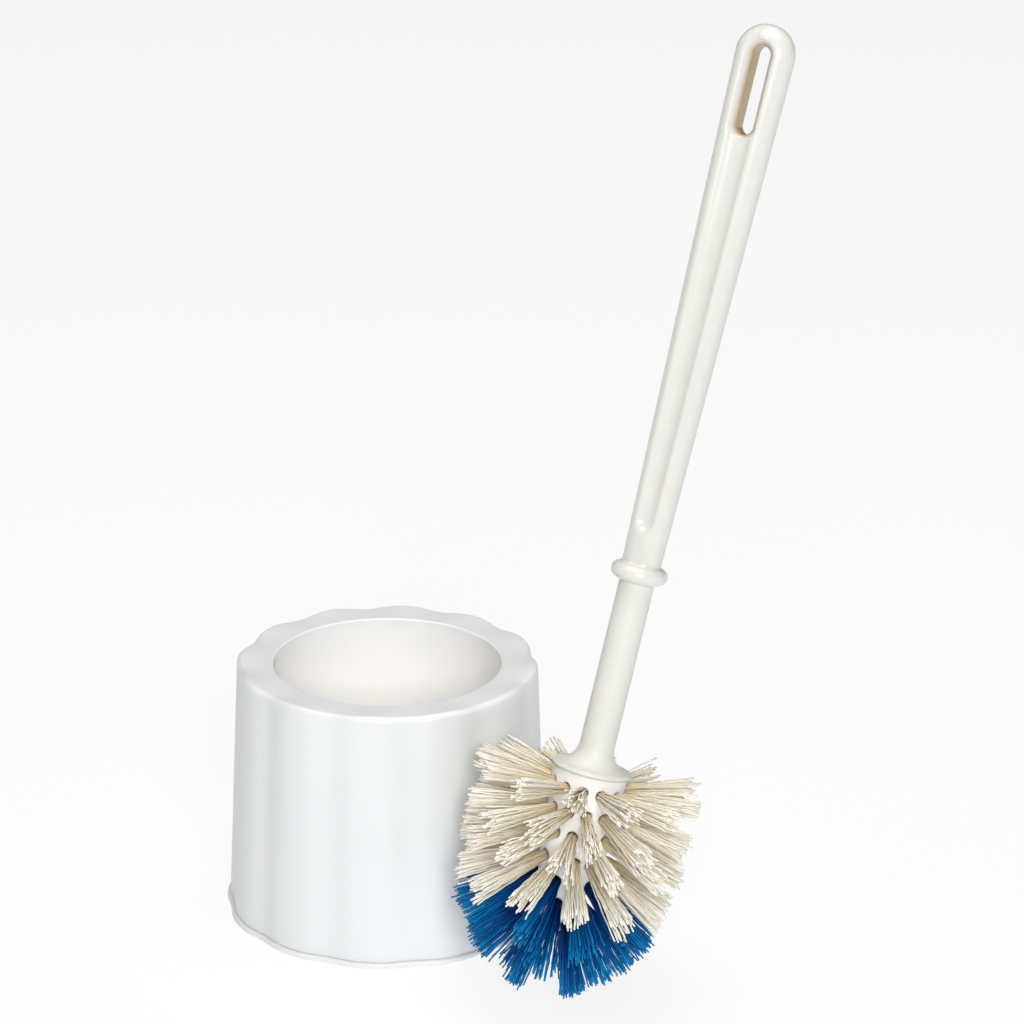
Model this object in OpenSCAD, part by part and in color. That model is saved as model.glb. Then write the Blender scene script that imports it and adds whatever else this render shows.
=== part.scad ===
// Toilet brush set: a scalloped round holder and a brush that stands beside it on its bristles.
// The origin is the centre of the holder's underside, +Z is up and the front faces -Y.

/* [Holder] */
// Height of the holder
holder_h = 103.8; // [95:0.5:112]
// Mean outer radius of the scalloped skirt at the top
skirt_top_r = 59.4; // [58:0.1:60]
// Mean outer radius of the scalloped skirt at the bottom
skirt_base_r = 63.7; // [62:0.1:64.2]
// Number of scallops round the skirt
lobes = 12; // [10:1:14]
// Height of a scallop above the mean radius, at the top
lobe_top = 0.8; // [0.5:0.05:1.2]
// Height of a scallop above the mean radius, at the bottom
lobe_base = 0.7; // [0.4:0.05:0.9]
// Angle of one scallop's crest, from +X
lobe_turn = -7; // [-15:1:15]
// Radius of the cup's opening
cup_r = 45.4; // [44:0.1:46.5]
// Wall thickness of the skirt and the flat top
skirt_wall = 2.2; // [1.8:0.1:2.6]
// Wall thickness of the cup
cup_wall = 1.8; // [1.4:0.1:2.2]
// How far the base plate stands out past the skirt
flange_proud = 1.2; // [0.6:0.1:1.4]
// Thickness of the base plate
base_t = 2.0; // [1.6:0.1:2.4]

/* [Brush place] */
// Centre of the joint between the handle and the brush head
seam_at = [77.6, -73.4, 87.4];
// Lean of the brush to the right
lean_right = 13.3; // [12:0.1:14]
// Lean of the brush to the back
lean_back = 10.2; // [9.5:0.1:11]

/* [Handle] */
// Height of the handle's top above the head joint
handle_h = 292.4; // [285:0.1:300]
// Radius of the round stem
stem_r = 6.8; // [6.4:0.1:7.2]
// Radius of the bead round the stem's foot
foot_r = 15.5; // [15:0.1:16]
// Height of the stem's flared foot
foot_h = 11.5; // [11:0.1:12.5]
// Height of the collar's middle above the head joint
collar_at = 80; // [78:0.5:82]
// Radius of the collar
collar_r = 11.1; // [10.6:0.1:11.6]
// Height of the collar
collar_h = 7; // [6.4:0.1:7.4]
// Width of the grip where it leaves the collar
grip_low_w = 15.1; // [14.6:0.1:15.6]
// Width of the grip at its looped end
grip_top_w = 23.5; // [23:0.1:24.5]
// Thickness of the grip
grip_t = 14; // [13:0.1:15]
// Turn of the grip's face about the handle, from straight ahead
grip_turn = -30.7; // [-35:0.1:-20]
// Half width of the hanging slot
slot_r = 3.3; // [3:0.1:3.6]
// Length of the hanging slot
slot_len = 33.6; // [30:0.1:36]
// Depth of the channel along each face of the grip
channel_d = 2.2; // [1.6:0.1:2.8]

/* [Head] */
// Radius of the head's neck
neck_r = 13.8; // [13.4:0.1:14.2]
// Length of the head's core
core_len = 64; // [62:0.5:66]
// Radius of the holes for the tufts
hole_r = 2.2; // [2:0.05:2.3]
// Depth of the holes for the tufts
hole_d = 3.9; // [3.6:0.1:4.1]
// Radius of a tuft at its cut end
tuft_tip_r = 4.3; // [3.4:0.1:5]

/* [Hidden] */

$fn = 96;
eps = 0.05;

// Holder
fit = 0.1;
lobe_points = 12;
skirt_sides = lobes * lobe_points;
upstand_t = 1.8;
upstand_h = 1.9;
cup_floor_t = 2;
cup_foot_t = 1.4;

// Handle
grip_from = collar_at - collar_h / 2;
grip_edge_r = 6.2;
loop_z = handle_h - grip_top_w / 2;
socket_r = 4.6;
spigot_gap = 0.02;
spigot_len = 20;
channel_low_r = 3.3;
channel_top_r = 5.2;
channel_from = 97.5;
funnel_r = 6;
funnel_d = 4;
bead_h = 2.4;
groove_d = 0.5;
skirt_r = 14.7;

// Head
root_gap = 0.05;
anchor_w = 4.6;
anchor_t = 0.5;
anchor_h = 2;
stud_len = 16;
cream = [0.93, 0.9, 0.81];
blue = [0.02, 0.33, 0.66];
ivory = [0.95, 0.94, 0.89];
// One line per row of tufts: depth below the head joint, number of tufts,
// turn of the first tuft, angle towards the tip and free length
ROWS = [
  [5.4, 12, -103, -3, 29],
  [14.3, 12, -88, 10.5, 29.3],
  [23.3, 12, -103, 15, 30],
  [33.3, 12, -88, 25, 31.7],
  [42.2, 9, -116, 33, 33.4],
  [51.2, 7, -104, 43, 32],
  [59.3, 4, -137, 66, 28.4]
];
// Outline of the core below its straight neck: depth and radius
CORE = [[28, neck_r], [34, 12.6], [42, 10.7], [50, 8.7], [57, 6.7], [61.5, 4.9], [63.5, 3]];

function mix(a, b, t) = a + (b - a) * t;
function core_radius(s) = lookup(s, concat([[0, neck_r]], CORE));

// Scalloped outline at height z, moved in by inset
function skirt_mean(z) = mix(skirt_base_r, skirt_top_r, z / holder_h);
function lobe_at(z) = mix(lobe_base, lobe_top, z / holder_h);
function scallop(z, inset) = [
  for (i = [0 : skirt_sides - 1])
    let (turn = i * 360 / skirt_sides, r = skirt_mean(z) - inset + lobe_at(z) * cos(lobes * turn))
      [r * cos(turn + lobe_turn), r * sin(turn + lobe_turn)]
];

function raised(outline, z) = [for (p = outline) [p[0], p[1], z]];

// Scalloped bell, open underneath: a tapered skirt under a flat top of the same thickness
module scalloped_bell(low, high, wall) {
  n = skirt_sides;
  points = concat(
    raised(scallop(low, 0), low),
    raised(scallop(high, 0), high),
    raised(scallop(low, wall), low),
    raised(scallop(high - wall, wall), high - wall)
  );
  top = [for (i = [n - 1 : -1 : 0]) n + i];
  ceiling = [for (i = [0 : n - 1]) 3 * n + i];
  walls = [
    for (i = [0 : n - 1])
      let (j = (i + 1) % n)
        each [
          [i, n + i, n + j], [i, n + j, j],
          [2 * n + i, 2 * n + j, 3 * n + j], [2 * n + i, 3 * n + j, 3 * n + i],
          [i, j, 2 * n + j, 2 * n + i]
        ]
  ];
  polyhedron(points = points, faces = concat([top, ceiling], walls), convexity = 4);
}

module tube(outer_r, inner_r, height) {
  difference() {
    cylinder(r = outer_r, h = height);
    translate([0, 0, -1]) cylinder(r = inner_r, h = height + 2);
  }
}

// Skirt and flat top in one moulding, open underneath
module outer_shell() {
  color([0.96, 0.97, 0.98]) difference() {
    scalloped_bell(base_t, holder_h, skirt_wall);
    cylinder(r = cup_r, h = holder_h + 1);
  }
}

// Round cup that hangs the brush head clear of the skirt
module cup_liner() {
  cup_top = holder_h - skirt_wall;
  color([0.98, 0.95, 0.92]) difference() {
    translate([0, 0, base_t]) cylinder(r = cup_r + cup_wall, h = cup_top - base_t);
    translate([0, 0, base_t + cup_floor_t]) cylinder(r = cup_r, h = holder_h);
  }
}

// Base that closes the skirt from below and locates the cup
module base_plate() {
  color([0.94, 0.95, 0.96]) {
    linear_extrude(base_t) polygon(scallop(0, -flange_proud));
    translate([0, 0, base_t - eps]) linear_extrude(upstand_h + eps) difference() {
      polygon(scallop(base_t + upstand_h, skirt_wall + fit));
      polygon(scallop(base_t + upstand_h, skirt_wall + fit + upstand_t));
    }
    translate([0, 0, base_t - eps])
      tube(cup_r + cup_wall + fit + cup_foot_t, cup_r + cup_wall + fit, upstand_h + eps);
  }
}

// Puts its children on the brush: the origin is the head joint and +Z runs up the handle
module on_brush() {
  translate(seam_at) rotate([-lean_back, lean_right, 0]) children();
}

// Flat round disc with a rounded rim, standing on its edge
module puck(z, r) {
  translate([0, 0, z]) rotate([90, 0, 0]) rotate_extrude($fn = 32) intersection() {
    translate([r - grip_edge_r, 0]) scale([1, grip_t / 2 / grip_edge_r]) circle(grip_edge_r, $fn = 32);
    translate([0, -grip_t]) square([r, 2 * grip_t]);
  }
}

// Straight-sided slot between two heights, open through the thickness
module slot_hole(low, low_r, high, high_r, depth) {
  rotate([90, 0, 0]) translate([0, 0, -depth / 2]) {
    translate([0, low]) cylinder(r = low_r, h = depth);
    translate([0, high]) cylinder(r = high_r, h = depth);
    linear_extrude(depth) polygon([[-low_r, low], [low_r, low], [high_r, high], [-high_r, high]]);
  }
}

// Rounded widening round the hanging slot on the +Y face
module funnel(low, high) {
  face = grip_t / 2;
  for (z = [low, high]) {
    translate([0, face - funnel_d, z]) rotate([-90, 0, 0])
      cylinder(r1 = slot_r, r2 = funnel_r, h = funnel_d + eps);
  }
  translate([0, 0, low]) linear_extrude(high - low)
    polygon([[-slot_r, face - funnel_d], [slot_r, face - funnel_d], [funnel_r, face + eps], [-funnel_r, face + eps]]);
}

// Grip with its looped end, channels, collar and the socket for the stem
module grip() {
  slot_low = loop_z - slot_len + 2 * slot_r;
  color(ivory) on_brush() rotate([0, 0, grip_turn]) difference() {
    union() {
      intersection() {
        hull() {
          puck(grip_from, grip_low_w / 2);
          puck(loop_z, grip_top_w / 2);
        }
        translate([-grip_top_w, -grip_t, collar_at]) cube([2 * grip_top_w, 2 * grip_t, handle_h]);
      }
      translate([0, 0, collar_at]) rotate_extrude() intersection() {
        translate([stem_r, 0]) scale([(collar_r - stem_r) / (collar_h / 2), 1]) circle(collar_h / 2, $fn = 48);
        translate([0, -collar_h]) square([collar_r + 1, 2 * collar_h]);
      }
      translate([0, 0, grip_from]) cylinder(r = stem_r, h = collar_h);
    }
    slot_hole(slot_low, slot_r, loop_z, slot_r, 2 * grip_t);
    for (side = [0, 180]) rotate([0, 0, side]) {
      translate([0, grip_t / 2, 0])
        slot_hole(channel_from + channel_low_r, channel_low_r, loop_z, channel_top_r, 2 * channel_d);
      funnel(slot_low, loop_z);
    }
    translate([0, 0, grip_from - 1]) cylinder(r = socket_r, h = spigot_len + 1);
  }
}

// Round stem with a flared foot, a spigot up into the grip and a stud down into the head
module stem() {
  flare_r = skirt_r - stem_r;
  flare_h = foot_h - bead_h - groove_d;
  color(ivory) on_brush() {
    rotate_extrude() difference() {
      square([skirt_r, foot_h]);
      translate([skirt_r, foot_h]) scale([1, flare_h / flare_r]) circle(flare_r);
    }
    rotate_extrude() {
      square([foot_r - bead_h / 2, bead_h]);
      translate([foot_r - bead_h / 2, bead_h / 2]) circle(bead_h / 2, $fn = 32);
    }
    cylinder(r = stem_r, h = grip_from);
    cylinder(r = socket_r - spigot_gap, h = grip_from + spigot_len - 1);
    translate([0, 0, -stud_len]) cylinder(r = socket_r - spigot_gap, h = stud_len + 1);
  }
}

// Puts its children at every tuft of a row: the origin is on the core and +Z runs out along the tuft
module at_tufts(row) {
  s = row[0];
  for (i = [0 : row[1] - 1])
    on_brush() rotate([0, 0, row[2] + i * 360 / row[1]])
      translate([core_radius(s), 0, -s]) rotate([0, 90 + row[3], 0]) children();
}

// Solid core, drilled for the tufts and for the handle's stud
module head_core() {
  outline = concat([[0, 0], [neck_r, 0]], [for (p = CORE) [p[1], -p[0]]], [[0, -core_len]]);
  color([0.97, 0.97, 0.95]) difference() {
    on_brush() rotate_extrude() polygon(outline);
    on_brush() translate([0, 0, -stud_len - 0.5]) cylinder(r = socket_r, h = stud_len + 1);
    for (row = ROWS) at_tufts(row)
      translate([0, 0, -hole_d]) cylinder(r = hole_r, h = 2 * hole_d, $fn = 24);
  }
}

// One row of tufts: a round root in each hole that fans out to the cut end
module tufts(row, tint) {
  root = hole_r - root_gap;
  color(tint) at_tufts(row) {
    translate([0, 0, root_gap - hole_d]) cylinder(r = root, h = hole_d, $fn = 24);
    cylinder(r1 = root, r2 = tuft_tip_r, h = row[4], $fn = 24);
  }
}

// One row of flat wire anchors, pressed across the bottom of the holes
module anchors(row) {
  color("silver") at_tufts(row)
    translate([-anchor_t / 2, -anchor_w / 2, 2 * root_gap - hole_d]) cube([anchor_t, anchor_w, anchor_h]);
}

outer_shell();
cup_liner();
base_plate();
grip();
stem();
head_core();
tufts(ROWS[0], cream);  // tufts_row_1
tufts(ROWS[1], cream);  // tufts_row_2
tufts(ROWS[2], cream);  // tufts_row_3
tufts(ROWS[3], cream);  // tufts_row_4
tufts(ROWS[4], blue);  // tufts_row_5
tufts(ROWS[5], blue);  // tufts_row_6
tufts(ROWS[6], blue);  // tufts_row_7
anchors(ROWS[0]);  // anchors_row_1
anchors(ROWS[1]);  // anchors_row_2
anchors(ROWS[2]);  // anchors_row_3
anchors(ROWS[3]);  // anchors_row_4
anchors(ROWS[4]);  // anchors_row_5
anchors(ROWS[5]);  // anchors_row_6
anchors(ROWS[6]);  // anchors_row_7
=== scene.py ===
"""Toilet brush set: a scalloped white holder with a round cup, and an ivory brush with cream and blue tufts.

Shapes are made in millimetres: the holder straight in the row frame, the brush along its own handle.
"""
import math

import bpy
import numpy as np
from mathutils import Matrix, Vector


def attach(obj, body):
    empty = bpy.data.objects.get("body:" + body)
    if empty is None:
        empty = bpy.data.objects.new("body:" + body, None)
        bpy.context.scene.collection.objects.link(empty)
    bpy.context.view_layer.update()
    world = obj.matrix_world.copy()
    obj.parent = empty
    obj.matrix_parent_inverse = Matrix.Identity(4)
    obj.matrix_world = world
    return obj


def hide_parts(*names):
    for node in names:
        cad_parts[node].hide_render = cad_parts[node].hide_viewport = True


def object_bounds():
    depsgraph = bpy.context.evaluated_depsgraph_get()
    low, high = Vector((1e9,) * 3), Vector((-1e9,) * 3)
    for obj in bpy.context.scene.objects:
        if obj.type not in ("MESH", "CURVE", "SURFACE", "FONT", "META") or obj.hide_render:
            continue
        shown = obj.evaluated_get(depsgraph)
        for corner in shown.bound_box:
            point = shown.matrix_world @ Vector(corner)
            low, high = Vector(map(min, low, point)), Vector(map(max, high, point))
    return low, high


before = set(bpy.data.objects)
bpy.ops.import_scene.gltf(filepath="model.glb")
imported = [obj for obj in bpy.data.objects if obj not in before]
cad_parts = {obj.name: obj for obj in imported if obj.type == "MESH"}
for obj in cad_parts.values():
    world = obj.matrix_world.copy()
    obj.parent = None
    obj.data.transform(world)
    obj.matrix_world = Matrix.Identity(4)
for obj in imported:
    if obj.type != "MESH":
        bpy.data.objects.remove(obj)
CAD_BOX = [list(corner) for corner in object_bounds()]
MM = 0.001
TAU = 2 * math.pi

# ---------------------------------------------------------------- sizes
# In millimetres, with angles turned to radians, as in the CAD model
HOLDER_H = 103.8
SKIRT_TOP_R = 59.4
SKIRT_BASE_R = 63.7
LOBES = 12
LOBE_TOP = 0.8
LOBE_BASE = 0.7
LOBE_TURN = math.radians(-7)
LOBE_SHARPNESS = -0.2
CUP_R = 45.4
CUP_WALL = 1.8
CUP_FLOOR_Z = 4.0
SKIRT_WALL = 2.2
FLANGE_PROUD = 1.2
BASE_T = 2.0

SEAM = (77.6, -73.4, 87.4)
LEAN_RIGHT = math.radians(13.3)
LEAN_BACK = math.radians(10.2)
HANDLE_H = 292.4
STEM_R = 6.8
FOOT_R = 15.5
FOOT_H = 11.5
COLLAR_AT = 80.0
COLLAR_R = 11.1
COLLAR_H = 7.0
GRIP_LOW_W = 15.1
GRIP_TOP_W = 23.5
GRIP_T = 14.0
GRIP_TURN = math.radians(-30.7)
SLOT_R = 3.3
SLOT_LEN = 33.6
NECK_R = 13.8
CORE_LEN = 64.0
HOLE_R = 2.2
HOLE_D = 3.9
# Rows of tufts: depth below the head joint, number, turn of the first, angle towards the tip
ROWS = (
    (5.4, 12, -103, -3),
    (14.3, 12, -88, 10.5),
    (23.3, 12, -103, 15),
    (33.3, 12, -88, 25),
    (42.2, 9, -116, 33),
    (51.2, 7, -104, 43),
    (59.3, 4, -137, 66),
)
CREAM_ROWS = 4
# Outline of the core below its straight neck: depth and radius
CORE = ((28, NECK_R), (34, 12.6), (42, 10.7), (50, 8.7), (57, 6.7), (61.5, 4.9), (63.5, 3), (CORE_LEN, 0))

# Sizes that only these looks have. The core's wall reaches up to the stem's bead, and swells a little there.
CORE_TOP = 1.1
CORE_SWELL = 0.6
FIT_GAP = 0.15


def mix(a, b, t):
    return a + (b - a) * t


# ---------------------------------------------------------------- meshes
def make_mesh(name, points, faces, smooth=True):
    """A mesh object from points in millimetres in the row frame."""
    mesh = bpy.data.meshes.new(name)
    corners = [tuple(p) for p in np.asarray(points) * MM]
    mesh.from_pydata(corners, [], [tuple(int(i) for i in f) for f in faces])
    mesh.validate()
    mesh.update()
    if smooth:
        mesh.polygons.foreach_set("use_smooth", [True] * len(mesh.polygons))
    piece = bpy.data.objects.new(name, mesh)
    bpy.context.scene.collection.objects.link(piece)
    return piece


def mark_points(piece, name, values):
    """Gives each point of a piece a value that its material can read by name."""
    piece.data.attributes.new(name, "FLOAT", "POINT").data.foreach_set("value", values)


def place_brush(points):
    """Points on the brush, +Z up its handle from the head joint, to the row frame."""
    place = Matrix.Rotation(LEAN_RIGHT, 3, "Y") @ Matrix.Rotation(-LEAN_BACK, 3, "X")
    return np.asarray(points) @ np.array(place).T + np.array(SEAM)


def arc(centre, radius, start, end, steps):
    """Points of an arc in a profile, angles in degrees."""
    angles = np.radians(np.linspace(start, end, steps))
    return [(centre[0] + radius * math.cos(a), centre[1] + radius * math.sin(a)) for a in angles]


def lathe(profile, sides, closed=True):
    """Points and faces of a profile of (radius, height) turned round Z. A closed profile makes a ring;
    an open one runs from the axis to the axis."""
    turns = np.arange(sides) * TAU / sides
    around = np.stack([np.cos(turns), np.sin(turns)], 1)
    points = [np.column_stack([around * r, np.full(sides, z)]) for r, z in profile]
    return join_rings(points, sides, closed)


def join_rings(rings, sides, closed):
    """Quads between neighbouring rings, and a fan at each end of an open stack of rings."""
    count = len(rings)
    faces = []
    for k in range(count if closed else count - 1):
        low, high = k * sides, ((k + 1) % count) * sides
        for i in range(sides):
            j = (i + 1) % sides
            faces.append((low + i, low + j, high + j, high + i))
    points = np.vstack(rings)
    if not closed:
        for ring, flip in ((0, True), (count - 1, False)):
            centre = len(points)
            points = np.vstack([points, rings[ring].mean(axis=0)])
            for i in range(sides):
                pair = (ring * sides + i, ring * sides + (i + 1) % sides)
                faces.append((pair[1], pair[0], centre) if flip else (pair[0], pair[1], centre))
    return points, faces


def smooth_min(a, b, k):
    h = np.clip(0.5 + 0.5 * (b - a) / k, 0, 1)
    return b + (a - b) * h - k * h * (1 - h)


def smooth_max(a, b, k):
    return -smooth_min(-a, -b, k)


def surface_net(field, low, high, step):
    """The zero surface of a signed distance field: one point per crossed cell, pulled onto the surface."""
    axes = [np.arange(a - step, b + 2 * step, step) for a, b in zip(low, high)]
    grid = np.stack(np.meshgrid(*axes, indexing="ij"), -1)
    shape = grid.shape[:3]
    values = field(grid.reshape(-1, 3)).reshape(shape)
    inside = values < 0
    cells = tuple(n - 1 for n in shape)
    total = np.zeros(cells + (3,))
    count = np.zeros(cells)
    corners = [(i, j, k) for i in (0, 1) for j in (0, 1) for k in (0, 1)]

    def corner(array, c):
        return array[c[0] : c[0] + cells[0], c[1] : c[1] + cells[1], c[2] : c[2] + cells[2]]

    for a in corners:
        for axis in range(3):
            if a[axis]:
                continue
            b = tuple(1 if n == axis else a[n] for n in range(3))
            va, vb = corner(values, a), corner(values, b)
            crossed = (va < 0) != (vb < 0)
            t = np.where(crossed, va / np.where(crossed, va - vb, 1), 0)[..., None]
            spot = corner(grid, a) * (1 - t) + corner(grid, b) * t
            total += spot * crossed[..., None]
            count += crossed
    used = count > 0
    index = np.full(cells, -1)
    index[used] = np.arange(used.sum())
    points = total[used] / count[used][:, None]
    faces = []
    for axis in range(3):
        u, v = [n for n in range(3) if n != axis]
        here = [slice(1, -1)] * 3
        there = [slice(1, -1)] * 3
        here[axis], there[axis] = slice(0, -1), slice(1, None)
        a, b = inside[tuple(here)], inside[tuple(there)]
        for crossing, flip in ((a & ~b, False), (~a & b, True)):
            at = np.argwhere(crossing)
            base = at.copy()
            base[:, u] += 1
            base[:, v] += 1
            quad = []
            for du, dv in ((-1, -1), (0, -1), (0, 0), (-1, 0)):
                spot = base.copy()
                spot[:, u] += du
                spot[:, v] += dv
                quad.append(index[spot[:, 0], spot[:, 1], spot[:, 2]])
            quad = np.stack(quad, 1)
            if flip != (axis == 1):
                quad = quad[:, ::-1]
            faces.append(quad)
    faces = np.vstack(faces)
    for _ in range(4):
        points = pull(field, points, step)
    return points, faces


def pull(field, points, step):
    """One Newton step of the points towards the field's zero surface."""
    value = field(points)
    nudge = step * 0.05
    steps = np.eye(3) * nudge
    slope = np.stack([(field(points + d) - field(points - d)) / (2 * nudge) for d in steps], 1)
    move = value[:, None] * slope / np.maximum((slope**2).sum(1), 0.2)[:, None]
    return points - np.clip(move, -step / 2, step / 2)


# ---------------------------------------------------------------- holder
SIDES = LOBES * 36


def skirt_radius(turns, z):
    """The scalloped skirt's outer radius: rounded crests and sharper valleys."""
    mean = mix(SKIRT_BASE_R, SKIRT_TOP_R, z / HOLDER_H)
    height = mix(LOBE_BASE, LOBE_TOP, z / HOLDER_H)
    phase = LOBES * (turns - LOBE_TURN)
    return mean + height * (np.cos(phase) + LOBE_SHARPNESS * np.cos(2 * phase))


def holder_ring(z, inset=0.0, inward=0.0, bore=CUP_R, wave=0.0):
    """A ring at height z: inward goes from 0 on the scalloped outline, moved in by inset, to 1 on the bore.
    The ring rises by wave at each crest and drops by as much in each valley."""
    turns = np.arange(SIDES) * TAU / SIDES
    radius = mix(skirt_radius(turns, z) - inset, bore, inward)
    height = z + wave * np.cos(LOBES * (turns - LOBE_TURN))
    return np.column_stack([radius * np.cos(turns), radius * np.sin(turns), height])


def shell_rings():
    """Skirt and top: up the outside, over the rounded rim, in to the bore and down the inside."""
    edge, lip, foot = 2.2, 0.5, BASE_T + FIT_GAP
    rise, wave = 0.3, 0.42
    rim = HOLDER_H + rise
    rings = [holder_ring(foot, 0.5), holder_ring(foot + 0.1, 0.15)]
    rings += [holder_ring(z, wave=wave * (z / rim) ** 8) for z in np.linspace(foot + 0.5, rim - edge, 28)]
    for a in np.radians(np.linspace(9, 90, 10)):
        rings.append(holder_ring(rim - edge * (1 - math.sin(a)), edge * (1 - math.cos(a)), wave=wave))
    for t in np.linspace(0.06, 0.94, 16):
        rings.append(holder_ring(rim - rise * t, edge, t, CUP_R + lip, wave * (1 - t) ** 1.5))
    for a in np.radians(np.linspace(0, 90, 5)):
        rings.append(holder_ring(HOLDER_H - lip * (1 - math.cos(a)), 0, 1, CUP_R + lip * (1 - math.sin(a))))
    under = HOLDER_H - SKIRT_WALL
    rings += [holder_ring(z, 0, 1) for z in (HOLDER_H - lip - 0.1, under + 1, under + 0.05, under)]
    rings += [holder_ring(under, SKIRT_WALL + 1, t) for t in (0.995, 0.9, 0.5, 0.1)]
    rings += [holder_ring(z, SKIRT_WALL) for z in np.linspace(under - 1, foot + 0.1, 20)]
    rings.append(holder_ring(foot, SKIRT_WALL - 0.2))
    return rings


def liner_profile():
    """Cup: from the middle of its underside, up the outside and down the inside to the floor's middle."""
    top, corner = HOLDER_H - SKIRT_WALL, 6.0
    outer = CUP_R + CUP_WALL
    points = [(12, BASE_T + 0.05), (outer - 1, BASE_T + 0.05), (outer, BASE_T + 1)]
    points += [(outer, z) for z in np.linspace(10, top - 0.1, 8)]
    points += [(outer - 0.05, top), (CUP_R + 0.05, top), (CUP_R, top - 0.02), (CUP_R, top - 0.1)]
    points += [(CUP_R, z) for z in np.linspace(top - 1, CUP_FLOOR_Z + corner, 24)]
    points += arc((CUP_R - corner, CUP_FLOOR_Z + corner), corner, 350, 270, 9)
    points += [(r, CUP_FLOOR_Z) for r in (30, 20, 8)]
    return points


def base_rings():
    """Base plate: flange with rounded edges, and the rims that locate the skirt and the cup."""
    edge, rim = 0.6, BASE_T + 1.9
    inner = SKIRT_WALL + FIT_GAP
    cup = CUP_R + CUP_WALL + FIT_GAP
    rings = [holder_ring(0, 0, t, 6) for t in (0.8, 0.4)]
    rings += [holder_ring(0, edge - FLANGE_PROUD)]
    for a in np.radians(np.linspace(-60, 90, 8)):
        z = (edge if a < 0 else BASE_T - edge) + edge * math.sin(a)
        rings.append(holder_ring(z, edge * (1 - math.cos(a)) - FLANGE_PROUD))
    skirt_rim = ((BASE_T, -0.3), (rim - 0.4, 0), (rim, 0.4), (rim, 1.4), (BASE_T, 1.8))
    rings += [holder_ring(z, inner + further) for z, further in skirt_rim]
    for r, z in ((cup + 1.4, BASE_T), (cup + 1.2, rim), (cup + 0.2, rim), (cup, BASE_T), (20, BASE_T)):
        rings.append(holder_ring(z, 0, 1, r))
    return rings


# ---------------------------------------------------------------- handle
GRIP_FROM = COLLAR_AT - COLLAR_H / 2


def stem_profile():
    """Stud, bead, groove, flare, round stem and spigot."""
    stud_r, bead, skirt_r, spigot_top = 4.58, 0.8, 14.6, 94.0
    seat = CORE_TOP + 0.02
    bead_top = seat + 2 * bead
    flare_from = bead_top + 0.3
    points = [(stud_r - 1, -16), (stud_r, -15), (stud_r, CORE_TOP), (stud_r + 0.2, seat)]
    points += [(NECK_R - 1, seat)]
    points += arc((FOOT_R - bead, bead_top - bead), bead, -80, 100, 14)
    points += [(skirt_r - 0.05, bead_top + 0.1), (skirt_r, flare_from)]
    reach, rise = skirt_r - STEM_R, FOOT_H - flare_from
    for a in np.radians(np.linspace(264, 180, 18)):
        points.append((skirt_r + reach * math.cos(a), FOOT_H + rise * math.sin(a)))
    points += [(STEM_R, z) for z in np.linspace(FOOT_H + 3, GRIP_FROM, 24)]
    points += [(STEM_R, GRIP_FROM + 0.5), (stud_r, GRIP_FROM + 0.6)]
    points += [(stud_r, spigot_top - 1), (stud_r - 1, spigot_top)]
    return points


LOOP_Z = HANDLE_H - GRIP_TOP_W / 2
SLOT_LOW = LOOP_Z - SLOT_LEN + 2 * SLOT_R


def tapered_slot(p, low, low_r, high, high_r):
    """Signed distance, in the grip's face, to a slot with round ends that widens evenly."""
    t = np.clip((p[:, 2] - low) / (high - low), 0, 1)
    radius = mix(low_r, high_r, t)
    return np.hypot(p[:, 0], p[:, 2] - mix(low, high, t)) - radius


def grip_field(p):
    """Rounded tapering grip with its loop, channels, slot, funnels, gate mark, collar and socket."""
    edge, half, skin = 6.8, GRIP_T / 2, 0.1
    mark_z, mark_r, mark_depth = LOOP_Z + 7.6, 2.1, 0.35
    channel_z, channel_r, channel_top_r, channel_depth = 100.8, 3.5, 4.8, 2.2
    funnel_wide, funnel_deep = 2.7, 4
    socket_r, socket_len = 4.65, 20
    depth = np.abs(p[:, 1])
    plan = tapered_slot(p, GRIP_FROM, GRIP_LOW_W / 2, LOOP_Z, GRIP_TOP_W / 2)
    a, b = plan + edge, depth - half + edge
    body = np.hypot(np.maximum(a, 0), np.maximum(b, 0)) + np.minimum(np.maximum(a, b), 0) - edge + skin
    body = np.maximum(body, COLLAR_AT - p[:, 2])
    mark = np.hypot(p[:, 0], p[:, 2] - mark_z) - mark_r
    body -= np.where(p[:, 1] < 0, mark_depth * np.clip(0.5 - mark / 0.6, 0, 1), 0)
    channel = tapered_slot(p, channel_z, channel_r, LOOP_Z, channel_top_r)
    hollow = channel_depth * (1 - 0.6 * np.clip(1 + channel / 4, 0, 1) ** 2)
    channel = smooth_max(channel * 0.8, half - hollow - depth, 0.9)
    funnel = tapered_slot(p, SLOT_LOW, SLOT_R, LOOP_Z, SLOT_R)
    funnel -= funnel_wide * np.clip((depth - half + funnel_deep) / funnel_deep, 0, 1.3)
    grip = smooth_max(body, -channel, 1.3)
    grip = smooth_max(grip, -funnel * 0.8, 0.9)
    around = np.hypot(p[:, 0], p[:, 1])
    bead = np.hypot((around - STEM_R) / (COLLAR_R - STEM_R), (p[:, 2] - COLLAR_AT) / (COLLAR_H / 2)) - 1
    bead = np.where(around < STEM_R, np.abs(p[:, 2] - COLLAR_AT) - COLLAR_H / 2, bead * 3.6)
    grip = smooth_min(grip, bead, 0.9)
    socket = np.where(p[:, 2] < GRIP_FROM + 0.9, around - STEM_R - 0.12, around - socket_r)
    socket = np.maximum(socket, p[:, 2] - GRIP_FROM - socket_len)
    return np.maximum(grip, -socket)


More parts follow.
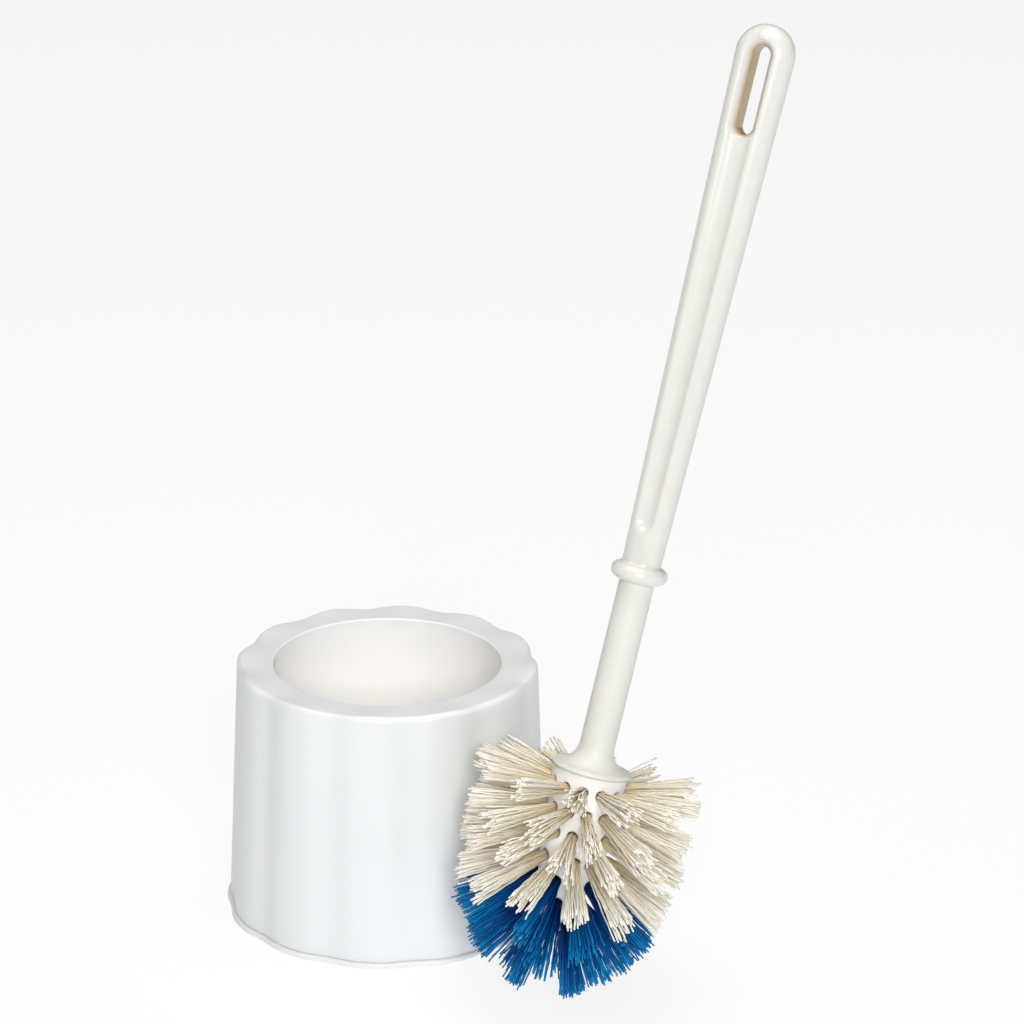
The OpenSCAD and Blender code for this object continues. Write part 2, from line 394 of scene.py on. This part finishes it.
# ---------------------------------------------------------------- head
def core_table():
    """Depth and radius of the core every quarter millimetre, swollen under the bead, its corners eased."""
    depths = np.arange(-3, CORE_LEN + 4, 0.25)
    radii = np.interp(depths, [s for s, _ in CORE], [r for _, r in CORE])
    radii = np.where(depths > CORE_LEN, -(depths - CORE_LEN), radii)
    radii += CORE_SWELL * np.clip((20 - depths) / 12, 0, 1)
    weights = np.hanning(17)
    eased = np.convolve(np.pad(radii, 8, mode="edge"), weights / weights.sum(), mode="valid")
    return depths, eased


CORE_DEPTHS, CORE_RADII = core_table()


def tufts():
    """Every tuft: its row, root on the core, direction out and the sideways direction round the head."""
    for row, (depth, number, first, angle) in enumerate(ROWS):
        radius = np.interp(depth, [s for s, _ in CORE], [r for _, r in CORE])
        for turn in np.radians(first + np.arange(number) * 360 / number):
            out = np.array([math.cos(turn), math.sin(turn), 0])
            tilt = math.radians(angle)
            direction = out * math.cos(tilt) - np.array([0, 0, math.sin(tilt)])
            yield row, out * radius - np.array([0, 0, depth]), direction, np.array([-out[1], out[0], 0])


TUFTS = list(tufts())


def core_field(p):
    """Solid core with a drilled hole under every tuft and a hole for the stud."""
    stud_hole_r, stud_hole_len = 4.62, 16.3
    around = np.hypot(p[:, 0], p[:, 1])
    core = around - np.interp(-p[:, 2], CORE_DEPTHS, CORE_RADII)
    core = smooth_max(core, p[:, 2] - CORE_TOP + FIT_GAP, 0.5)
    for _, root, direction, _ in TUFTS:
        near = np.flatnonzero(((p - root) ** 2).sum(1) < (HOLE_D + 4) ** 2)
        reach = p[near] - root
        along = reach @ direction
        across = np.sqrt(np.maximum((reach**2).sum(1) - along**2, 0))
        hole = np.maximum(across - HOLE_R, -along - HOLE_D)
        core[near] = smooth_max(core[near], -hole, 0.35)
    stud_hole = np.maximum(around - stud_hole_r, -stud_hole_len - p[:, 2])
    return np.maximum(core, -stud_hole)


# ---------------------------------------------------------------- bristles
# Strands in a tuft, and how each one is built
STRANDS = 42
STRAND_SIDES = 6
STRAND_STEPS = 11
STRAND_R = 0.31
# How far strands keep from the floor and from the front of the CAD model's box
FLOOR_GAP = 0.35
FRONT_GAP = 0.45
# How tightly a tuft sits in its hole, and how much it settles towards the tip of the head
PACK_R = 1.76
SAG = 0.16
# How much the strands' directions differ: over a tuft, tuft by tuft, bundle by bundle and strand by strand
CREAM_SPREAD = 0.09
BLUE_SPREAD = 0.115
TUFT_LEAN = 0.02
BUNDLES = 5
BUNDLE_SPLIT = 0.032
JITTER = 0.022
STRAY_JITTER = 3
STRAY_SHARE = 0.05
GOLDEN = math.pi * (3 - math.sqrt(5))
# Round that the head is trimmed to: depth and radius
TRIM = (
    (0, 43.2),
    (30, 43.2),
    (42, 42),
    (50, 40.6),
    (60, 39),
    (73, 31.3),
    (84.5, 16.5),
    (88, 0),
    (120, -60),
)


def reach_to_trim(root, direction):
    """Length of a straight strand from root to the round that the head is trimmed to."""
    lengths = np.linspace(12, 42, 121)
    spots = root + lengths[:, None] * direction
    limit = np.interp(-spots[:, 2], [s for s, _ in TRIM], [r for _, r in TRIM])
    return lengths[np.argmax(np.hypot(spots[:, 0], spots[:, 1]) > limit)]


def tuft_paths(root, direction, side, spread, rng):
    """Middle lines of a tuft's strands: packed in the hole, fanned a little, wavy and trimmed."""
    trim_error, bow_size, wave_size, inside = 0.7, 1.6, 0.2, 1.5
    up = np.cross(direction, side)
    lean = rng.normal(0, TUFT_LEAN, 2)
    split = rng.normal(0, BUNDLE_SPLIT, (BUNDLES, 2))
    twist = rng.uniform(0, TAU)
    t = np.linspace(0, 1, STRAND_STEPS)[:, None]
    for n in range(STRANDS):
        out, angle = math.sqrt((n + 0.5) / STRANDS), n * GOLDEN + twist
        offset = out * np.array([math.cos(angle), math.sin(angle)])
        bundle = split[int(BUNDLES * (angle % TAU) / TAU)]
        stray = STRAY_JITTER if rng.random() < STRAY_SHARE else 1
        fan = spread * offset + lean + bundle + rng.normal(0, JITTER, 2) * stray
        heading = direction + fan[0] * side + fan[1] * up
        heading /= np.linalg.norm(heading)
        start = root + PACK_R * (offset[0] * side + offset[1] * up) - SAG * up
        length = reach_to_trim(start, heading) + rng.normal(0, trim_error)
        across = np.cross(heading, rng.normal(0, 1, 3))
        across /= np.linalg.norm(across)
        bow = across * rng.normal(0, bow_size)
        turns = t * length / rng.uniform(6, 10) + rng.random()
        wave = wave_size * np.sin(TAU * turns) * np.minimum(3 * t, 1)
        straight = start - inside * direction + heading * (length + inside) * t
        yield straight + bow * (t - t**2) + wave * np.cross(heading, across)


def keep_in_box(world):
    """Strands shortened where they would pass the floor or the front of the CAD model's box."""
    squeeze = np.ones(len(world))
    for axis, limit in ((1, CAD_BOX[0][1] / MM + FRONT_GAP), (2, FLOOR_GAP)):
        start, end = world[:, 0, axis], world[:, -1, axis]
        squeeze = np.minimum(squeeze, np.where(end < limit, (start - limit) / (start - end), 1))
    return world[:, :1] + (world - world[:, :1]) * squeeze[:, None, None]


def strand_faces(count):
    """Quads along count strands, and a face at each end of every strand."""
    base = np.arange(count)[:, None, None] * STRAND_STEPS * STRAND_SIDES
    level = np.arange(STRAND_STEPS - 1)[None, :, None] * STRAND_SIDES
    here = np.arange(STRAND_SIDES)[None, None]
    there = (here + 1) % STRAND_SIDES
    low = base + level
    high = low + STRAND_SIDES
    quads = np.stack([low + here, low + there, high + there, high + here], -1)
    faces = [tuple(f) for f in quads.reshape(-1, 4)]
    for n in range(count):
        root = n * STRAND_STEPS * STRAND_SIDES
        tip = root + (STRAND_STEPS - 1) * STRAND_SIDES
        faces.append(tuple(root + i for i in reversed(range(STRAND_SIDES))))
        faces.append(tuple(tip + i for i in range(STRAND_SIDES)))
    return faces


def bristle_row(row):
    """One row of tufts as thin round strands. Each point knows how far along its strand it is, for the
    painted shade at the root and painted light at the tip.
    """
    rng = np.random.default_rng(100 + row)
    spread = CREAM_SPREAD if row < CREAM_ROWS else BLUE_SPREAD
    paths = []
    for number, root, direction, side in TUFTS:
        if number == row:
            paths += list(tuft_paths(root, direction, side, spread, rng))
    paths = np.array(paths)
    world = keep_in_box(place_brush(paths.reshape(-1, 3)).reshape(paths.shape))
    run = world[:, -1] - world[:, 0]
    run /= np.linalg.norm(run, axis=1)[:, None]
    first = np.cross(run, [0.3, 0.2, 0.9])
    first /= np.linalg.norm(first, axis=1)[:, None]
    second = np.cross(run, first)
    turns = np.arange(STRAND_SIDES) * TAU / STRAND_SIDES
    ring = np.cos(turns)[:, None] * first[:, None] + np.sin(turns)[:, None] * second[:, None]
    points = (world[:, :, None] + STRAND_R * ring[:, None]).reshape(-1, 3)
    piece = make_mesh(f"bristles_row_{row + 1}", points, strand_faces(len(paths)))
    along = np.tile(np.repeat(np.linspace(0, 1, STRAND_STEPS), STRAND_SIDES), len(paths))
    mark_points(piece, "along", along)
    return piece


# ---------------------------------------------------------------- materials
WHITE = (1.0, 1.0, 1.0)


def nodes_of(name):
    material = bpy.data.materials.new(name)
    material.use_nodes = True
    tree = material.node_tree
    return material, tree.nodes, tree.links, tree.nodes["Principled BSDF"]


def noise(nodes, links, scale, detail=4.0):
    place = nodes.new("ShaderNodeTexCoord")
    texture = nodes.new("ShaderNodeTexNoise")
    texture.inputs["Scale"].default_value = scale
    texture.inputs["Detail"].default_value = detail
    links.new(place.outputs["Object"], texture.inputs["Vector"])
    return texture


def ramp(nodes, links, source, stops):
    """A colour ramp fed by source, with stops of (place, colour)."""
    blend = nodes.new("ShaderNodeValToRGB")
    elements = blend.color_ramp.elements
    while len(elements) < len(stops):
        elements.new(0.5)
    for element, (spot, colour) in zip(elements, stops):
        element.position = spot
        element.color = (*colour, 1)
    links.new(source, blend.inputs["Fac"])
    return blend


def multiply(nodes, links, colour, by):
    """The product of two colours."""
    blend = nodes.new("ShaderNodeMix")
    blend.data_type = "RGBA"
    blend.blend_type = "MULTIPLY"
    blend.inputs["Factor"].default_value = 1.0
    links.new(colour, blend.inputs["A"])
    links.new(by, blend.inputs["B"])
    return blend.outputs["Result"]


def surface(nodes, links, shader, texture, rough, bump, depth):
    """Gloss between the two values in rough, and a fine relief, both from one texture."""
    gloss = nodes.new("ShaderNodeMapRange")
    gloss.inputs["To Min"].default_value = rough[0]
    gloss.inputs["To Max"].default_value = rough[1]
    links.new(texture.outputs["Fac"], gloss.inputs["Value"])
    links.new(gloss.outputs["Result"], shader.inputs["Roughness"])
    relief = nodes.new("ShaderNodeBump")
    relief.inputs["Strength"].default_value = bump
    relief.inputs["Distance"].default_value = depth
    links.new(texture.outputs["Fac"], relief.inputs["Height"])
    links.new(relief.outputs["Normal"], shader.inputs["Normal"])


def moulded(name, colour, tint, rough, grain=260, bump=0.04, coat=0.0, scatter=0.08, painted_light_tint=None):
    """Moulded plastic: faint cloudy colour, uneven gloss and a fine skin. Where the mesh's points are marked
    hollow, the colour is multiplied by a given tint, painted shade where the tint is below white and painted
    light where it is above."""
    material, nodes, links, shader = nodes_of(name)
    cloud = noise(nodes, links, 22)
    shade = ramp(nodes, links, cloud.outputs["Fac"], ((0.3, colour), (0.75, tint)))
    colour_out = shade.outputs["Color"]
    if painted_light_tint:
        # Painted light and shade: the colour of marked points is multiplied by the given tint.
        hollow = nodes.new("ShaderNodeAttribute")
        hollow.attribute_name = "hollow"
        change = ramp(nodes, links, hollow.outputs["Fac"], ((0.0, WHITE), (1.0, painted_light_tint)))
        colour_out = multiply(nodes, links, colour_out, change.outputs["Color"])
    links.new(colour_out, shader.inputs["Base Color"])
    surface(nodes, links, shader, noise(nodes, links, grain, 6), rough, bump, 0.0004)
    shader.inputs["Coat Weight"].default_value = coat
    shader.inputs["Coat Roughness"].default_value = 0.12
    shader.inputs["Subsurface Weight"].default_value = scatter
    shader.inputs["Subsurface Radius"].default_value = (0.004, 0.003, 0.002)
    shader.inputs["Subsurface Scale"].default_value = 1.0
    return material


def strand_material(name, root, middle, tip, dull, rough, gloss_level):
    """Plastic filament, each strand its own tone: painted shade darkens it towards its root and painted
    light brightens its cut end.
    """
    material, nodes, links, shader = nodes_of(name)
    along = nodes.new("ShaderNodeAttribute")
    along.attribute_name = "along"
    # Painted shade towards the root and painted light towards the tip.
    length = ramp(nodes, links, along.outputs["Fac"], ((0.0, root), (0.45, middle), (1.0, tip)))
    island = nodes.new("ShaderNodeNewGeometry")
    shade = ramp(nodes, links, island.outputs["Random Per Island"], ((0.0, dull), (0.6, WHITE)))
    colour = multiply(nodes, links, length.outputs["Color"], shade.outputs["Color"])
    links.new(colour, shader.inputs["Base Color"])
    shader.inputs["Specular IOR Level"].default_value = gloss_level
    surface(nodes, links, shader, noise(nodes, links, 900, 3), rough, 0.15, 0.0002)
    return material


def anchor_material():
    """Drawn flat wire: fine streaks in its gloss."""
    material, nodes, links, shader = nodes_of("anchor_wire")
    shader.inputs["Metallic"].default_value = 1.0
    streak = noise(nodes, links, 1500, 2)
    shade = ramp(nodes, links, streak.outputs["Fac"], ((0.2, (0.5, 0.5, 0.52)), (0.8, (0.68, 0.68, 0.7))))
    links.new(shade.outputs["Color"], shader.inputs["Base Color"])
    shader.inputs["Roughness"].default_value = 0.35
    return material


def painted_slot_shade(p):
    """Weight of the painted shade in the hanging slot, from 0 on the grip's faces to 1 on the slot's walls.
    """
    beside = tapered_slot(p, SLOT_LOW, SLOT_R, LOOP_Z, SLOT_R)
    return np.clip((2.2 - beside) / 2, 0, 1) * np.clip((GRIP_T / 2 - 1 - np.abs(p[:, 1])) / 2.5, 0, 1)


def painted_bore_light(p):
    """Weight of the painted light on the shell's own stretch of the bore: 1 there and 0 elsewhere."""
    return np.clip((CUP_R + 0.45 - np.hypot(p[:, 0], p[:, 1])) / 0.3, 0, 1)


def dress(piece, material, body, slot, *replaced):
    """Gives a piece its material and the body that it rides on, and hides the CAD nodes that it replaces.
    The slot is not used.
    """
    piece.data.materials.clear()
    piece.data.materials.append(material)
    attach(piece, body)
    if replaced:
        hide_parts(*replaced)


# ---------------------------------------------------------------- the set
# The shell's stretch of the bore gets a tint above white: painted light that brightens it.
holder_plastic = moulded(
    "holder_plastic", (0.78, 0.792, 0.798), (0.8, 0.809, 0.81), (0.3, 0.42), painted_light_tint=(1.21, 1.2, 1.19)
)
# Off-white plastic made brighter and warmer than the shell to stand in for light bounced round inside the
# cup: partly its own colour, partly painted light.
liner_plastic = moulded("liner_plastic", (0.985, 0.967, 0.94), (0.99, 0.975, 0.952), (0.34, 0.46))
grip_plastic = moulded(
    "grip_plastic",
    (0.73, 0.718, 0.68),
    (0.75, 0.738, 0.7),
    (0.14, 0.24),
    coat=0.22,
    scatter=0.15,
    # Painted shade: darkens and warms the hanging slot's walls.
    painted_light_tint=(0.66, 0.5, 0.3),
)
stem_plastic = moulded(
    "stem_plastic", (0.73, 0.72, 0.68), (0.755, 0.745, 0.705), (0.36, 0.5), grain=420, bump=0.12, scatter=0.2
)
core_plastic = moulded("core_plastic", (0.92, 0.92, 0.89), (0.94, 0.935, 0.91), (0.3, 0.42))
# Strand colours: the root colour is painted shade from the tufts' depths, the tip colour painted light.
cream = strand_material(
    "bristle_cream",
    root=(0.66, 0.52, 0.32),
    middle=(0.89, 0.835, 0.705),
    tip=(0.95, 0.92, 0.85),
    dull=(0.86, 0.8, 0.68),
    rough=(0.4, 0.6),
    gloss_level=0.4,
)
# Here too the root colour is painted shade and the tip colour painted light.
blue = strand_material(
    "bristle_blue",
    root=(0.0, 0.01, 0.08),
    middle=(0.0, 0.07, 0.31),
    tip=(0.0, 0.22, 0.5),
    dull=(0.3, 0.42, 0.6),
    rough=(0.4, 0.55),
    gloss_level=0.12,
)
wire = anchor_material()

points, faces = join_rings(shell_rings(), SIDES, True)
shell = make_mesh("outer_shell_detail", points, faces)
# Marks the shell's stretch of the bore for its painted light.
mark_points(shell, "hollow", painted_bore_light(points))
dress(shell, holder_plastic, "holder", "holder_plastic", "outer_shell")
liner = make_mesh("cup_liner_detail", *lathe(liner_profile(), 192, closed=False))
dress(liner, liner_plastic, "holder", "liner_plastic", "cup_liner")
plate = make_mesh("base_plate_detail", *join_rings(base_rings(), SIDES, False))
dress(plate, holder_plastic, "holder", "holder_plastic", "base_plate")

points, faces = lathe(stem_profile(), 96, closed=False)
stem = make_mesh("stem_detail", place_brush(points), faces)
dress(stem, stem_plastic, "brush", "handle_plastic", "stem")

side = GRIP_TOP_W / 2 + 1
low, high = (-side, -side, GRIP_FROM - 0.5), (side, side, HANDLE_H + 0.5)
points, faces = surface_net(grip_field, low, high, 0.6)
turn = np.array(Matrix.Rotation(GRIP_TURN, 3, "Z"))
grip = make_mesh("grip_detail", place_brush(points @ turn.T), faces)
# Marks the hanging slot's walls for their painted shade.
mark_points(grip, "hollow", painted_slot_shade(points))
dress(grip, grip_plastic, "brush", "handle_plastic", "grip")

low, high = (-15.5, -15.5, -CORE_LEN - 1), (15.5, 15.5, CORE_TOP + 0.5)
points, faces = surface_net(core_field, low, high, 0.5)
core = make_mesh("head_core_detail", place_brush(points), faces)
dress(core, core_plastic, "brush", "core_plastic", "head_core")

for row in range(len(ROWS)):
    is_cream = row < CREAM_ROWS
    bristles = bristle_row(row)
    slot = "bristle_cream" if is_cream else "bristle_blue"
    dress(bristles, cream if is_cream else blue, "brush", slot, f"tufts_row_{row + 1}")
    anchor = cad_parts[f"anchors_row_{row + 1}"]
    anchor.data.materials.clear()
    anchor.data.materials.append(wire)


# ---------------------------------------------------------------- studio
def area_light(name, place, target, size, power, colour=(1, 1, 1)):
    data = bpy.data.lights.new(name, "AREA")
    data.shape = "RECTANGLE"
    data.size, data.size_y = size
    data.energy = power
    data.color = colour
    lamp = bpy.data.objects.new(name, data)
    lamp.location = place
    lamp.rotation_euler = (Vector(target) - Vector(place)).to_track_quat("-Z", "Y").to_euler()
    bpy.context.scene.collection.objects.link(lamp)


def make_stage():
    """Plain pale floor that glows a little, so that it reads as white, and a round wall of the same
    far behind. The wall is there for the camera only, and leaves the light as it is."""
    reach, wall_h, sides = 4000, 4000, 96
    material, _, _, shader = nodes_of("stage")
    shader.inputs["Base Color"].default_value = (0.12, 0.12, 0.12, 1)
    shader.inputs["Roughness"].default_value = 0.9
    shader.inputs["Emission Color"].default_value = (1, 1, 1, 1)
    shader.inputs["Emission Strength"].default_value = 0.85
    corners = [(-reach, -reach, 0), (reach, -reach, 0), (reach, reach, 0), (-reach, reach, 0)]
    floor = make_mesh("floor", corners, [(0, 1, 2, 3)], smooth=False)
    turns = np.arange(sides) * TAU / sides
    foot = np.column_stack([0.97 * reach * np.cos(turns), 0.97 * reach * np.sin(turns), np.zeros(sides)])
    faces = [(i, (i + 1) % sides, sides + (i + 1) % sides, sides + i) for i in range(sides)]
    wall = make_mesh("wall", np.vstack([foot, foot + np.array([0, 0, wall_h])]), faces)
    wall.visible_diffuse = wall.visible_glossy = wall.visible_transmission = wall.visible_shadow = False
    for piece in (floor, wall):
        piece.data.materials.append(material)


def make_world(strength):
    world = bpy.data.worlds.new("studio")
    world.use_nodes = True
    world.node_tree.nodes["Background"].inputs["Color"].default_value = (1, 1, 1, 1)
    world.node_tree.nodes["Background"].inputs["Strength"].default_value = strength
    bpy.context.scene.world = world


def make_camera():
    """Long lens, looking down on the set from the front."""
    distance, height, lens = 1.4735, 0.7107, 140.6
    pitch, yaw, roll = math.radians(20.25), math.radians(1.91), math.radians(-0.47)
    data = bpy.data.cameras.new("camera")
    data.lens, data.sensor_width = lens, 36
    data.clip_start, data.clip_end = 0.05, 20
    camera = bpy.data.objects.new("camera", data)
    aim = Matrix.Rotation(-yaw, 4, "Z") @ Matrix.Rotation(math.pi / 2 - pitch, 4, "X")
    aim = aim @ Matrix.Rotation(-roll, 4, "Z")
    camera.matrix_world = Matrix.Translation((0, -distance, height)) @ aim
    bpy.context.scene.collection.objects.link(camera)
    bpy.context.scene.camera = camera


make_stage()
make_world(0.1)
area_light("key", (0.15, -2.0, 1.1), (0, 0, 0.08), (0.9, 0.8), 34.5, (0.97, 0.99, 1.0))
area_light("top", (0.0, 0.1, 1.9), (0, 0, 0.1), (1.5, 1.5), 24.5, (1.0, 0.98, 0.95))
make_camera()
bpy.context.scene.view_settings.view_transform = "Standard"
